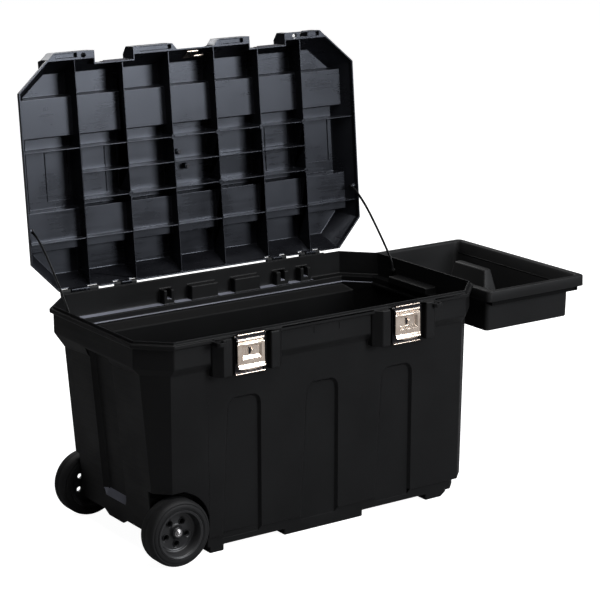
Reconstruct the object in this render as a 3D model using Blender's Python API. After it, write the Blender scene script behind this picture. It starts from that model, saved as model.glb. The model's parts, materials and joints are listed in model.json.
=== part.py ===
"""Rolling tool chest with an open lid, two draw latches, two wheels, a fold-down pull handle
and a lift-out tray hung on its end.  Metres, +Z up, front (latches) towards -Y, wheels at -X."""
import bpy
import bmesh
from math import sin, cos, pi, radians, atan2, hypot
from mathutils import Matrix, Vector

# ---------------------------------------------------------------- driving dimensions
FIT = 0.0003                 # play between pieces that touch
WALL = 0.004                 # moulded wall of the chest
BEAD_X, BEAD_Y = 0.478, 0.2646   # half size of the bead that runs round under the lid
BAND_Z0, BEAD_Z, BAND_Z1 = 0.461, 0.5095, 0.5185
LIP_X, LIP_Y, LIP_Z = 0.470, 0.2566, 0.525   # band and sealing lip, half size and top
NECK_Z, NECK_BACK_Z = 0.445, 0.430   # where the band meets the tapered walls
BACK_IN = 0.040              # how far the back wall stands in from the front wall's mirror image
PLINTH_Y, PLINTH_Z = 0.2166, 0.040
PLINTH_XL, PLINTH_XR = 0.414, 0.423
SOLE_Z = 0.016               # underside of the chest between its feet
FLOOR_Z = 0.0215
ARCH_AT = (-0.214, 0.0, 0.214)   # centres of the recessed arches
ARCH_D = 0.008
LATCH_X = 0.2175             # latches at plus and minus this
HINGE_Y, HINGE_Z = 0.2715, 0.5283
LID_OPEN = radians(94.9)     # the lid leans back a little past upright
LID_X = 0.4745
LID_BACK, LID_FRONT = 0.2712, -0.2764
LID_NOTCH = -0.2612          # lid front inside the latch notches
PAD_Y, PAD_IN = -0.2914, -0.2480   # front and back of the pads on the lid
LID_Z0, LID_Z1 = 0.5195, 0.585
LID_W = 0.003                # lid wall
GROOVES = ((-0.1874, -0.0934), (0.0796, 0.1756))   # two long channels in the lid top
GROOVE_D = 0.026
LATCH_RIVETS = ((-0.0330, 0.4400), (-0.0260, 0.5085), (0.0330, 0.4400), (0.0260, 0.5085))
RIBS_X = (-0.320, -0.192, -0.064, 0.064, 0.192, 0.320)
AXLE_X, AXLE_Y, AXLE_Z, AXLE_R = -0.3918, -0.5 * BACK_IN, 0.078, 0.006
WHEEL_R, WHEEL_Y0, WHEEL_Y1 = 0.078, 0.177, 0.233   # inner and outer face, from AXLE_Y
WELL_R, WELL_Y = 0.0895, 0.162   # wheel well and its inner wall, from AXLE_Y
HUB_R = 0.0570
DISH, BOSS = 0.0260, 0.0160   # depth of the wheel disc and of its middle boss from the outer face
TRAY_X0, TRAY_X1, TRAY_Y, TRAY_Z = 0.490, 0.790, 0.250, 0.507
HANDLE_Z, HANDLE_X, HANDLE_ARM = 0.352, 0.4625, 0.125

# ---------------------------------------------------------------- materials
def material(name, rgb, rough, metal=0.0):
    m = bpy.data.materials.new(name)
    m.use_nodes = True
    b = m.node_tree.nodes["Principled BSDF"]
    b.inputs["Base Color"].default_value = (rgb[0], rgb[1], rgb[2], 1.0)
    b.inputs["Roughness"].default_value = rough
    b.inputs["Metallic"].default_value = metal
    m.diffuse_color = (rgb[0], rgb[1], rgb[2], 1.0)
    return m


FINISH = {
    "black": ((0.018, 0.018, 0.019), 0.55, 0.0),
    "lid": ((0.022, 0.023, 0.027), 0.42, 0.0),
    "tray": ((0.030, 0.030, 0.031), 0.55, 0.0),
    "rubber": ((0.028, 0.028, 0.030), 0.75, 0.0),
    "hub": ((0.045, 0.045, 0.048), 0.50, 0.0),
    "chrome": ((0.78, 0.77, 0.75), 0.18, 1.0),
    "steel": ((0.52, 0.52, 0.53), 0.32, 1.0),
    "strap": ((0.020, 0.020, 0.022), 0.80, 0.0),
    "brass": ((0.62, 0.55, 0.38), 0.28, 1.0),
}


# ---------------------------------------------------------------- mesh builders
def raw(name, verts, faces):
    """A new object from vertices and faces, with its normals turned outwards."""
    me = bpy.data.meshes.new(name)
    me.from_pydata([tuple(v) for v in verts], [], faces)
    ob = bpy.data.objects.new(name, me)
    bpy.context.scene.collection.objects.link(ob)
    bm = bmesh.new()
    bm.from_mesh(me)
    bmesh.ops.recalc_face_normals(bm, faces=bm.faces)
    bm.to_mesh(me)
    bm.free()
    return ob


def loft(name, rings):
    """A closed solid through rings that all have the same number of points."""
    n = len(rings[0])
    verts = [p for r in rings for p in r]
    faces = [tuple(range(n)), tuple((len(rings) - 1) * n + i for i in range(n))]
    for k in range(len(rings) - 1):
        for i in range(n):
            j = (i + 1) % n
            faces.append((k * n + i, k * n + j, (k + 1) * n + j, (k + 1) * n + i))
    return raw(name, verts, faces)


def prism(name, poly, axis, a, b):
    """A polygon swept from a to b along an axis.  X takes (y, z), Y takes (x, z), Z takes (x, y)."""
    def put(p, t):
        return {"X": (t, p[0], p[1]), "Y": (p[0], t, p[1]), "Z": (p[0], p[1], t)}[axis]
    return loft(name, [[put(p, a) for p in poly], [put(p, b) for p in poly]])


def box(name, x0, x1, y0, y1, z0, z1):
    return prism(name, [(x0, y0), (x1, y0), (x1, y1), (x0, y1)], "Z", z0, z1)


def disc(cx, cy, r, n=20, start=0.0):
    return [(cx + r * cos(start + 2 * pi * i / n), cy + r * sin(start + 2 * pi * i / n))
            for i in range(n)]


def rod(name, axis, c, r, a, b, n=20):
    return prism(name, disc(c[0], c[1], r, n, pi / n), axis, a, b)


def spin_y(name, profile, cx, cz, n=48):
    """A closed (y, radius) profile turned about a line along Y through (cx, cz)."""
    verts, faces = [], []
    for i in range(n):
        a = 2 * pi * i / n
        verts += [(cx + r * cos(a), y, cz + r * sin(a)) for y, r in profile]
    m = len(profile)
    for i in range(n):
        j = (i + 1) % n
        for k in range(m):
            q = (k + 1) % m
            faces.append((i * m + k, j * m + k, j * m + q, i * m + q))
    return raw(name, verts, faces)


def eight(xl, xr, yf, yb, cf, cb, z):
    """An eight-sided outline; cf and cb are the (x, y) corner cuts, given left and right."""
    (fl, fr), (bl, br) = cf, cb
    return [(-xl + fl[0], -yf, z), (xr - fr[0], -yf, z), (xr, -yf + fr[1], z), (xr, yb - br[1], z),
            (xr - br[0], yb, z), (-xl + bl[0], yb, z), (-xl, yb - bl[1], z), (-xl, -yf + fl[1], z)]


def rounded(x0, x1, y0, y1, r, z, n=4):
    pts = []
    for cx, cy, a0 in ((x1 - r, y1 - r, 0), (x0 + r, y1 - r, 90), (x0 + r, y0 + r, 180),
                       (x1 - r, y0 + r, 270)):
        for i in range(n + 1):
            a = radians(a0 + 90 * i / n)
            pts.append((cx + r * cos(a), cy + r * sin(a), z))
    return pts


def apply_bool(ob, cutters, op):
    """Works the cutters into ob one after another and takes them out of the scene."""
    for c in cutters:
        m = ob.modifiers.new("join", "BOOLEAN")
        m.operation, m.solver, m.object = op, "EXACT", c
        deps = bpy.context.evaluated_depsgraph_get()
        me = bpy.data.meshes.new_from_object(ob.evaluated_get(deps))
        ob.modifiers.clear()
        old = ob.data
        ob.data = me
        bpy.data.meshes.remove(old)
        bpy.data.objects.remove(c)
    return ob


def cut(ob, *c):
    return apply_bool(ob, c, "DIFFERENCE")


def weld(ob, *c):
    return apply_bool(ob, c, "UNION")


def finish(ob, finish_name, origin=(0, 0, 0), smooth=None):
    """Names the finish, moves the origin to its working axis and cleans the mesh."""
    me = ob.data
    bm = bmesh.new()
    bm.from_mesh(me)
    bmesh.ops.remove_doubles(bm, verts=bm.verts, dist=0.00002)
    bmesh.ops.dissolve_degenerate(bm, edges=bm.edges, dist=0.00002)
    bmesh.ops.dissolve_limit(bm, angle_limit=0.0008, use_dissolve_boundaries=False,
                             verts=bm.verts, edges=bm.edges)
    bmesh.ops.triangulate(bm, faces=bm.faces, quad_method="BEAUTY", ngon_method="BEAUTY")
    bmesh.ops.recalc_face_normals(bm, faces=bm.faces)
    bm.to_mesh(me)
    bm.free()
    me.transform(Matrix.Translation(-Vector(origin)))
    ob.location = origin
    me.materials.clear()
    rgb, rough, metal = FINISH[finish_name]
    me.materials.append(material(ob.name + "_finish", rgb, rough, metal))
    if smooth:
        for p in me.polygons:
            p.use_smooth = True
        me.set_sharp_from_angle(angle=radians(smooth))
    return ob


# ---------------------------------------------------------------- chest
def face_y(z):
    """Distance of the tapered front wall from the middle at height z."""
    return 0.245 - 0.0506 * (NECK_Z - z)


def wall_ring(z, inset=0.0, z_back=None):
    """Outline of the tapered wall at height z, drawn in by inset; the back may end lower."""
    def level(h):
        d = NECK_Z - h
        xl, xr = 0.457 - 0.0815 * d - inset, 0.451 - 0.010 * d - inset
        cl = 0.0495 - 0.0567 * d - 0.586 * inset
        cr = 0.047 - 0.030 * d - 0.586 * inset
        yf = face_y(h) - inset
        return eight(xl, xr, yf, yf - BACK_IN, ((cl, cl), (cr, cr)), ((cl, cl), (cr, cr)), h)
    front, back = level(z), level(z if z_back is None else z_back)
    return front[:3] + back[3:7] + front[7:]


def rim_ring(hx, hy, z):
    """Outline at rim height; the corner cuts grow with the outline."""
    g = (hx - LIP_X) * 0.586
    f, b = (0.065 + g, 0.0655 + g), (0.072 + g, 0.077 + g)
    return eight(hx, hx, hy, hy, (f, f), (b, b), z)


def plinth_ring(z, inset=0.0):
    c = (0.026 - 0.586 * inset,) * 2
    return eight(PLINTH_XL - inset, PLINTH_XR - inset, PLINTH_Y - inset,
                 PLINTH_Y - BACK_IN - inset, (c, c), (c, c), z)


def arch_cutter(xc, side, grow, depth):
    """A flat-topped arch with round shoulders; side is -1 at the front and 1 at the back."""
    def outline(w, z_top, y_of, bottom):
        half, flat, spring = 0.0395 + w, 0.0200 + 0.6 * w, 0.343
        arc = [(flat + (half - flat) * cos(radians(a)), spring + (z_top - spring) * sin(radians(a)))
               for a in (0, 24, 46, 68, 90)]
        pts = ([(-0.047 - w, bottom)] + [(-x, z) for x, z in arc] + arc[::-1]
               + [(0.049 + w, bottom)])
        return [(xc + x, side * y_of(z), z) for x, z in pts]
    def face(z):
        return face_y(z) - (BACK_IN if side > 0 else 0.0)
    low = 0.0300 - grow
    return loft("arch", [outline(grow, 0.3645 + grow, lambda z: face(z) - depth, low),
                         outline(grow + 0.0052, 0.3695 + grow, lambda z: face(z) + 0.0001, low),
                         outline(grow + 0.0052, 0.3695 + grow, lambda z: face(z) + 0.02, low)])


def valley_cutter(grow):
    """The shallow recess down the middle of the wheel end, with a sloping sill."""
    rings = []
    y0, y1 = AXLE_Y - 0.054 - grow, AXLE_Y + 0.052 + grow
    for z, d, lift in ((0.101 - grow, 0.0002, 0.0), (0.115 - grow, 0.012, 0.0), (0.4451, 0.011, 0.0),
                       (0.4565, 0.011, 0.006)):
        x = -(0.457 - 0.0815 * (NECK_Z - z))
        face, deep = x - 0.0001 - lift, x + d + grow - lift
        rings.append([(x - 0.04, y0, z), (face, y0, z), (deep, y0 + 0.020, z), (deep, y1 - 0.010, z),
                      (face, y1, z), (x - 0.04, y1, z)])
    return loft("valley", rings)


def build_body():
    outer = loft("chest_body", [
        plinth_ring(SOLE_Z), plinth_ring(PLINTH_Z), wall_ring(PLINTH_Z),
        wall_ring(NECK_Z, 0.0, NECK_BACK_Z), rim_ring(LIP_X, LIP_Y, BAND_Z0),
        rim_ring(LIP_X, LIP_Y, BEAD_Z - 0.002), rim_ring(BEAD_X, BEAD_Y, BEAD_Z),
        rim_ring(BEAD_X, BEAD_Y, BAND_Z1), rim_ring(LIP_X, LIP_Y, BAND_Z1), rim_ring(LIP_X, LIP_Y, LIP_Z)])
    inner = loft("hollow", [
        plinth_ring(FLOOR_Z, WALL), plinth_ring(PLINTH_Z + WALL, WALL),
        wall_ring(PLINTH_Z + WALL, WALL), wall_ring(0.440, WALL, NECK_BACK_Z + 0.002),
        rim_ring(0.436, 0.2225, 0.4465), rim_ring(0.436, 0.2225, 0.4525),
        rim_ring(0.4425, 0.229, 0.4525), rim_ring(0.4425, 0.229, 0.467),
        rim_ring(0.466, 0.2526, 0.467), rim_ring(0.466, 0.2526, LIP_Z + 0.01)])
    for xc in ARCH_AT:
        for side in (-1, 1):
            cut(outer, arch_cutter(xc, side, 0.0, ARCH_D))
            cut(inner, arch_cutter(xc, side, 0.004, ARCH_D + WALL))
    cut(outer, valley_cutter(0.0))
    cut(inner, valley_cutter(0.004))
    # wheel wells, the raised underside between them and the channel for the axle
    side = WELL_R - 0.0005
    for s in (-1, 1):
        y0, y1 = sorted((AXLE_Y + s * WELL_Y, s * 0.30))
        cut(outer, rod("well", "Y", (AXLE_X, AXLE_Z), WELL_R, y0, y1, 40),
            box("well_box", -0.50, AXLE_X, y0, y1, -0.02, AXLE_Z + side),
            box("well_low", -0.50, AXLE_X + side, y0, y1, -0.02, AXLE_Z))
        y0, y1 = sorted((AXLE_Y + s * (WELL_Y - 0.0045), s * 0.30))
        cut(inner, box("well_in", -0.50, AXLE_X + WELL_R + WALL, y0, y1, 0.0, AXLE_Z + WELL_R + WALL))
    reach = WELL_Y - 0.005
    cut(outer, box("lift", -0.50, -0.347, -0.30, 0.30, -0.02, 0.061),
        box("channel", -0.4185, -0.365, AXLE_Y - reach, AXLE_Y + reach, -0.02, 0.0955))
    cut(inner, box("lift_in", -0.50, -0.3425, -0.30, 0.30, 0.0, 0.1000))
    # a raised guard on both sides of each latch
    for s in (-1, 1):
        xc = s * LATCH_X
        guard = [(-0.0920, -0.2440), (-0.0920, -0.2600), (-0.0740, -0.2800), (-0.0520, -0.2800),
                 (-0.0485, -0.2650), (0.0485, -0.2650), (0.0520, -0.2800), (0.0740, -0.2800),
                 (0.0920, -0.2600), (0.0920, -0.2440)]
        weld(outer, prism("guard", [(xc + x, y) for x, y in guard], "Z", 0.4310, BAND_Z1 - 0.0004))
    cut(outer, inner)
    body = outer
    # feet: two cross runners and a pad behind each wheel
    foot_y = (-PLINTH_Y + 0.0004, PLINTH_Y - BACK_IN - 0.0004)
    weld(body, box("foot_mid", -0.092, 0.132, foot_y[0], foot_y[1], 0.0, SOLE_Z + 0.002),
         prism("foot_end", [(0.322, 0.0), (0.368, 0.0), (0.384, 0.012), (0.384, SOLE_Z + 0.002),
                            (0.322, SOLE_Z + 0.002)], "Y", foot_y[0], foot_y[1]))
    for a, b in ((foot_y[0], foot_y[0] + 0.0662), (foot_y[1] - 0.0662, foot_y[1])):
        weld(body, box("foot_wheel", -0.2960, -0.258, a, b, 0.0, SOLE_Z + 0.002))
    # shallow tab under the middle of the wheel end
    weld(body, prism("tab", [(-0.070, 0.063), (-0.045, 0.049), (0.020, 0.049), (0.048, 0.063)], "X",
                     -0.4248, -0.4190))
    # a padlock eye beside each latch, and the holes for the latch rivets
    for s in (-1, 1):
        ex = s * 0.2995
        eye = prism("eye", [(ex - 0.0125, -0.2560), (ex - 0.0125, -0.2860), (ex - 0.0070, -0.2915),
                            (ex + 0.0070, -0.2915), (ex + 0.0125, -0.2860), (ex + 0.0125, -0.2560)],
                    "Z", 0.5060, 0.5150)
        weld(body, eye)
        cut(body, rod("eye_hole", "Z", (ex, -0.2815), 0.0060, 0.40, 0.53, 16))
        for dx, z in LATCH_RIVETS:
            cut(body, rod("rivet_hole", "Y", (s * LATCH_X + dx, z), 0.0018, -0.30, -0.2612, 8))
    # marks of the middle catch on the band
    for x in (-0.035, 0.035):
        cut(body, box("tick", x - 0.0007, x + 0.0007, -0.30, -LIP_Y + 0.0012, 0.4880, 0.5040))
    # brackets on the back wall above the ledge
    for x0, x1, slot in ((-0.140, -0.110, 1), (-0.061, 0.016, 0), (0.064, 0.140, 0),
                         (0.189, 0.226, 1), (0.262, 0.294, 1)):
        weld(body, box("bracket", x0, x1, 0.2320, 0.2540, 0.4655, 0.5020))
        if slot:
            xm = 0.5 * (x0 + x1)
            cut(body, box("slot", xm - 0.005, xm + 0.005, 0.2250, 0.2500, 0.4800, 0.5100))
    weld(body, box("end_shelf", 0.4360, 0.4675, -0.060, 0.095, 0.4655, 0.4840))
    # low rail behind the lip, which closes the gap under the open lid
    weld(body, box("rail", -0.405, 0.350, 0.2540, 0.2600, 0.5180, 0.5272))
    # hinge knuckles behind the back of the rim
    for x0, x1 in BODY_KNUCKLES:
        weld(body, prism("knuckle", knuckle_outline(True), "X", x0, x1))
    for x0, x1 in PINS:
        cut(body, rod("bore", "X", (HINGE_Y, HINGE_Z), 0.0023 + FIT, x0 - 0.0005, x1 + 0.0005, 10))
    # eyelets for the lid stays, hangers for the tray, bosses for the pull handle
    for s in (-1, 1):
        x0, x1 = sorted((s * 0.4626, s * 0.4675))
        weld(body, rod("stay_boss", "X", STAY_LOW, 0.0065, x0, x1, 14))
        x0, x1 = sorted((s * 0.45, s * 0.4690))
        cut(body, rod("stay_hole", "X", STAY_LOW, 0.0022 + FIT, x0, x1, 12))
        hanger = [(0.4690, 0.4680), (0.4990, 0.4720), (0.4990, 0.5032), (0.4955, 0.5032),
                  (0.4955, 0.4775), (0.4690, 0.4775)]
        weld(body, prism("hanger", hanger, "Y", s * 0.125 - 0.022, s * 0.125 + 0.022))
        ear = [(0.4485, HANDLE_Z - 0.026), (0.4485, HANDLE_Z + 0.026), (0.4600, HANDLE_Z + 0.014),
               (0.4730, HANDLE_Z + 0.008), (0.4730, HANDLE_Z - 0.010), (0.4600, HANDLE_Z - 0.016)]
        for e in (0.0855, 0.1065):
            weld(body, prism("ear", ear, "Y", s * e - 0.004, s * e + 0.004))
    cut(body, rod("handle_bore", "Y", (HANDLE_X, HANDLE_Z), 0.0030 + FIT, -0.1200, 0.1200, 12))
    cut(body, rod("axle_bore", "Y", (AXLE_X, AXLE_Z), AXLE_R + FIT, -0.30, 0.30, 24))
    finish(body, "black")
    return body


# ---------------------------------------------------------------- hinges
PINS = ((-0.400, -0.300), (-0.254, -0.195), (0.184, 0.242), (0.285, 0.345))
BODY_KNUCKLES, LID_KNUCKLES = [], []
for _a, _b in PINS:
    _w = (_b - _a) / 4.0
    BODY_KNUCKLES += [(_a, _a + _w - 0.0005), (_b - _w + 0.0005, _b)]
    LID_KNUCKLES += [(_a + _w + 0.0005, _b - _w - 0.0005)]
STAY_LOW = (0.110, 0.492)           # (y, z) of the stay's eyelet on the chest
STAY_TOP = (0.1171, 0.5350)         # (y, z) of its eyelet in the closed lid


def knuckle_outline(on_body):
    """Cross section (y, z) of a hinge knuckle with the web that carries it."""
    r = 0.0055
    if on_body:
        arc = [(HINGE_Y + r * cos(radians(a)), HINGE_Z + r * sin(radians(a)))
               for a in range(0, 181, 30)]
        return [(0.2555, 0.4960), (0.2700, 0.5010)] + arc + [(0.2660, 0.5172), (0.2555, 0.5172)]
    arc = [(HINGE_Y + r * cos(radians(a)), HINGE_Z + r * sin(radians(a)))
           for a in range(-140, 41, 30)]
    return ([(0.2690, 0.5205)] + arc[1:]
            + [(0.2745, 0.5400), (0.2598, 0.5475), (0.2590, 0.5460), (0.2685, 0.5315)])


def build_pins():
    for i, (a, b) in enumerate(PINS):
        pin = rod("hinge_pin_%d" % (i + 1), "X", (HINGE_Y, HINGE_Z), 0.0023, a, b, 12)
        finish(pin, "steel", smooth=40)


# ---------------------------------------------------------------- lid
def lid_ring(inset, z, wall=0.0):
    """Lid outline drawn in by its taper and by a wall."""
    k = inset + wall
    hx, yb, yf = LID_X - k, LID_BACK - k, -LID_FRONT - k
    f = (0.0795 - 0.5 * k, 0.0700 - 0.5 * k)
    b = (0.0690 - 0.6 * k, 0.0730 - 0.6 * k)
    return eight(hx, hx, yf, yb, (f, f), (b, b), z)


def build_lid():
    top = LID_Z1
    outer = loft("lid", [lid_ring(0.0, LID_Z0), lid_ring(0.0015, LID_Z0 + 0.012),
                         lid_ring(0.0310, top - 0.004), lid_ring(0.0360, top)])
    inner = loft("lid_hollow", [lid_ring(0.0, LID_Z0 - 0.01, LID_W),
                                lid_ring(0.0015, LID_Z0 + 0.012, LID_W),
                                lid_ring(0.0290, top - 0.0075, LID_W), lid_ring(0.0325, top - LID_W,
        LID_W)])
    # pads along the front edge, with slanting ends towards the middle
    for s in (-1, 1):
        a = 0.0440 if s < 0 else 0.0620
        for pts in ([(a, PAD_IN), (a, -0.2762), (a + 0.012, PAD_Y), (0.1655, PAD_Y), (0.1655, PAD_IN)],
                    [(0.2695, PAD_IN), (0.2695, PAD_Y), (0.3770, PAD_Y), (0.3940, -0.2762),
                      (0.3940, PAD_IN)]):
            low = [(s * x, y, LID_Z0) for x, y in pts]
            mid = [(s * x, y, 0.5560) for x, y in pts]
            hi = [(s * x, max(y, -0.2730), 0.5720) for x, y in pts]
            hi = [(x, y + (0.0004 if y < -0.2725 else 0.0), z) for x, y, z in hi]
            pad = loft("pad", [low, mid, hi])
            weld(outer, pad)
            xs = [p[0] for p in pts]
            x0, x1 = sorted((s * (min(xs) + 0.016), s * (max(xs) - 0.020)))
            if min(xs) > 0.2:
                x0, x1 = sorted((s * 0.3170, s * 0.3740))
            cut(outer, box("pad_pocket", x0, x1, PAD_Y + 0.0025, -0.2782, LID_Z0 - 0.01, LID_Z0 + 0.009))
        cut(outer, rod("eye", "Z", (s * 0.2995, -0.2815), 0.0060, 0.50, 0.60, 16))
        # notch for the latch, with the wall behind it
        n0, n1 = sorted((s * (LATCH_X - 0.052), s * (LATCH_X + 0.052)))
        cut(outer, box("notch", n0, n1, -0.32, LID_NOTCH, LID_Z0 - 0.01, 0.5660))
        cut(inner, box("notch_in", n0 - LID_W, n1 + LID_W, -0.32, LID_NOTCH + LID_W, LID_Z0 - 0.02, 0.5690))
    # the right eye is a thin tongue
    cut(outer, box("eye_step", 0.2835, 0.3450, PAD_Y - 0.01, -0.2770, LID_Z0 + 0.008, 0.60))
    for y0, y1 in GROOVES:
        def trough(g):
            z0 = top - GROOVE_D - g
            return prism("trough", [(y0 + 0.004 - g, z0), (y1 - 0.004 + g, z0), (y1 + g, top + 0.004),
                                    (y0 - g, top + 0.004)], "X", -0.50, 0.50)
        cut(outer, trough(0.0))
        cut(inner, trough(LID_W))
    # stiffening ribs under the lid: six along Y, four along X
    for x in RIBS_X:
        cut(inner, box("rib", x - 0.00125, x + 0.00125, -0.30, 0.30, 0.5280, 0.60))
    for y, hx in ((-0.0644, 0.50), (-0.0034, 0.3215), (0.0596, 0.3215), (0.1516, 0.50)):
        cut(inner, box("cross_rib", -hx, hx, y - 0.00125, y + 0.00125, 0.5295, 0.60))
    for x, y in ((-0.064, -0.0644), (0.064, -0.0644), (0.192, -0.0644), (0.320, -0.0644),
                 (0.064, 0.0596), (0.320, 0.0596), (-0.192, 0.0596)):
        boss = rod("rib_boss", "Z", (x, y), 0.0060, 0.5275, 0.60, 10)
        cut(boss, rod("rib_hole", "Z", (x, y), 0.0030, 0.50, 0.5400, 8))
        cut(inner, boss)
    for x, y in LID_SCREWS:
        cut(inner, rod("lid_boss", "Z", (x, y), 0.0075, 0.5640, 0.60, 16))
    for s in (-1, 1):
        x0, x1 = sorted((s * 0.4626, s * 0.50))
        cut(inner, rod("lid_stay_boss", "X", STAY_TOP, 0.0065, x0, x1, 14))
    cut(outer, inner)
    lid = outer
    for x, y in LID_SCREWS:
        cut(lid, rod("screw_hole", "Z", (x, y), 0.0022, 0.55, 0.5760, 12))
    for s in (-1, 1):
        x0, x1 = sorted((s * 0.45, s * 0.4665))
        cut(lid, rod("stay_hole", "X", STAY_TOP, 0.0022 + FIT, x0, x1, 12))
    for x0, x1 in LID_KNUCKLES:
        weld(lid, prism("lid_knuckle", knuckle_outline(False), "X", x0, x1))
    for a, b in PINS:
        cut(lid, rod("bore", "X", (HINGE_Y, HINGE_Z), 0.0023 + FIT, a - 0.001, b + 0.001, 10))
    for x0, x1 in BODY_KNUCKLES:
        cut(lid, box("clear", x0 - 0.0010, x1 + 0.0010, 0.2630, 0.29, 0.50, 0.5355))
    return finish(lid, "lid", origin=(0, HINGE_Y, HINGE_Z))


LID_SCREWS = ((-0.0300, -0.0220), (-0.0080, 0.0150))


def turn_open(ob):
    """Puts a piece that was drawn with the lid closed where the open lid carries it."""
    pivot = Vector((0, HINGE_Y, HINGE_Z))
    turn = Matrix.Translation(pivot) @ Matrix.Rotation(-LID_OPEN, 4, "X") @ Matrix.Translation(-pivot)
    ob.matrix_world = turn @ Matrix.Translation(ob.location)
    return ob


def build_lid_fittings(lid):
    """Keepers, middle hasp plate, screws and stay screws that travel with the lid."""
    parts = []
    for s, tag in ((-1, "left"), (1, "right")):
        xc = s * LATCH_X
        y = LID_NOTCH - FIT
        sec = [(y, 0.5205), (y, 0.5380), (y - 0.0015, 0.5380), (y - 0.0015, 0.5225),
               (y - 0.0042, 0.5225), (y - 0.0042, 0.5205)]
        parts.append(finish(prism("lid_keeper_" + tag, sec, "X", xc - 0.030, xc + 0.030), "steel"))
        h0, h1 = sorted((s * 0.4575, s * 0.4599))
        head = rod("stay_screw_lid_" + tag, "X", STAY_TOP, 0.0048, h0, h1, 16)
        t0, t1 = sorted((s * 0.4590, s * 0.4660))
        weld(head, rod("shank", "X", STAY_TOP, 0.0021, t0, t1, 12))
        parts.append(finish(head, "steel", smooth=40))
    def lying(z0, z1):
        """Section of a plate that lies against the sloping inside of the lid's front wall."""
        lean = 0.598                          # how much that wall leans back per height
        y0, y1 = (LID_FRONT + 0.0050 + lean * (z - LID_Z0 - 0.012) for z in (z0, z1))
        return [(y0, z0), (y0 + 0.0018, z0), (y1 + 0.0018, z1), (y1, z1)]
    hasp = prism("lid_hasp_plate", lying(0.5380, 0.5660), "X", -0.0040, 0.0260)
    weld(hasp, prism("tail", lying(0.5595, 0.5690), "X", 0.0250, 0.0560))
    parts.append(finish(hasp, "chrome"))
    for i, (x, y) in enumerate(LID_SCREWS):
        head = rod("lid_screw_%d" % (i + 1), "Z", (x, y), 0.0045, 0.5610, 0.5637, 16)
        weld(head, rod("shank", "Z", (x, y), 0.0018, 0.5630, 0.5745, 12))
        parts.append(finish(head, "steel", smooth=40))
    for p in parts + [lid]:
        turn_open(p)


# ---------------------------------------------------------------- lid stays
def strap_path():
    """Centre line (y, z) of a stay from its eyelet in the open lid to the one in the chest."""
    t = HINGE_Y - STAY_TOP[0]
    h = STAY_TOP[1] - HINGE_Z
    c, s = cos(LID_OPEN), sin(LID_OPEN)
    top = (HINGE_Y - c * t + s * h, HINGE_Z + s * t + c * h)
    ctrl = [top, (0.262, 0.668), (0.222, 0.637), (0.176, 0.590), (0.132, 0.540), (0.113, 0.512), STAY_LOW]
    pts = []
    for i in range(len(ctrl) - 1):
        p0, p1 = ctrl[max(i - 1, 0)], ctrl[i]
        p2, p3 = ctrl[i + 1], ctrl[min(i + 2, len(ctrl) - 1)]
        for k in range(3):
            u = k / 3.0
            pts.append(tuple(0.5 * (2 * p1[j] + (p2[j] - p0[j]) * u
                                    + (2 * p0[j] - 5 * p1[j] + 4 * p2[j] - p3[j]) * u * u
                                    + (3 * p1[j] - p0[j] - 3 * p2[j] + p3[j]) * u ** 3) for j in (0, 1)))
    pts.append(ctrl[-1])
    return pts


def build_stays():
    pts = strap_path()
    left, right = [], []
    for i, p in enumerate(pts):
        a, b = pts[max(i - 1, 0)], pts[min(i + 1, len(pts) - 1)]
        dy, dz = b[0] - a[0], b[1] - a[1]
        l = hypot(dy, dz)
        left.append((p[0] - dz / l * 0.0035, p[1] + dy / l * 0.0035))
        right.append((p[0] + dz / l * 0.0035, p[1] - dy / l * 0.0035))
    for s, tag in ((-1, "left"), (1, "right")):
        x0, x1 = sorted((s * 0.4602, s * 0.4622))
        strap = prism("lid_stay_" + tag, left + right[::-1], "X", x0, x1)
        for end in (pts[0], pts[-1]):
            weld(strap, rod("eyelet", "X", end, 0.0060, x0, x1, 14))
        for end in (pts[0], pts[-1]):
            cut(strap, rod("eyelet_hole", "X", end, 0.0021 + FIT, x0 - 0.01, x1 + 0.01, 12))
        finish(strap, "strap")
        h0, h1 = sorted((s * 0.4575, s * 0.4599))
        t0, t1 = sorted((s * 0.4590, s * 0.4685))
        head = rod("stay_screw_chest_" + tag, "X", STAY_LOW, 0.0048, h0, h1, 16)
        weld(head, rod("shank", "X", STAY_LOW, 0.0021, t0, t1, 12))
        finish(head, "steel", smooth=40)


# ---------------------------------------------------------------- latches
P1 = (-0.2700, 0.5165)      # lever pivot on the base
P2 = (-0.2740, 0.5075)      # hook pivot on the lever


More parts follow.
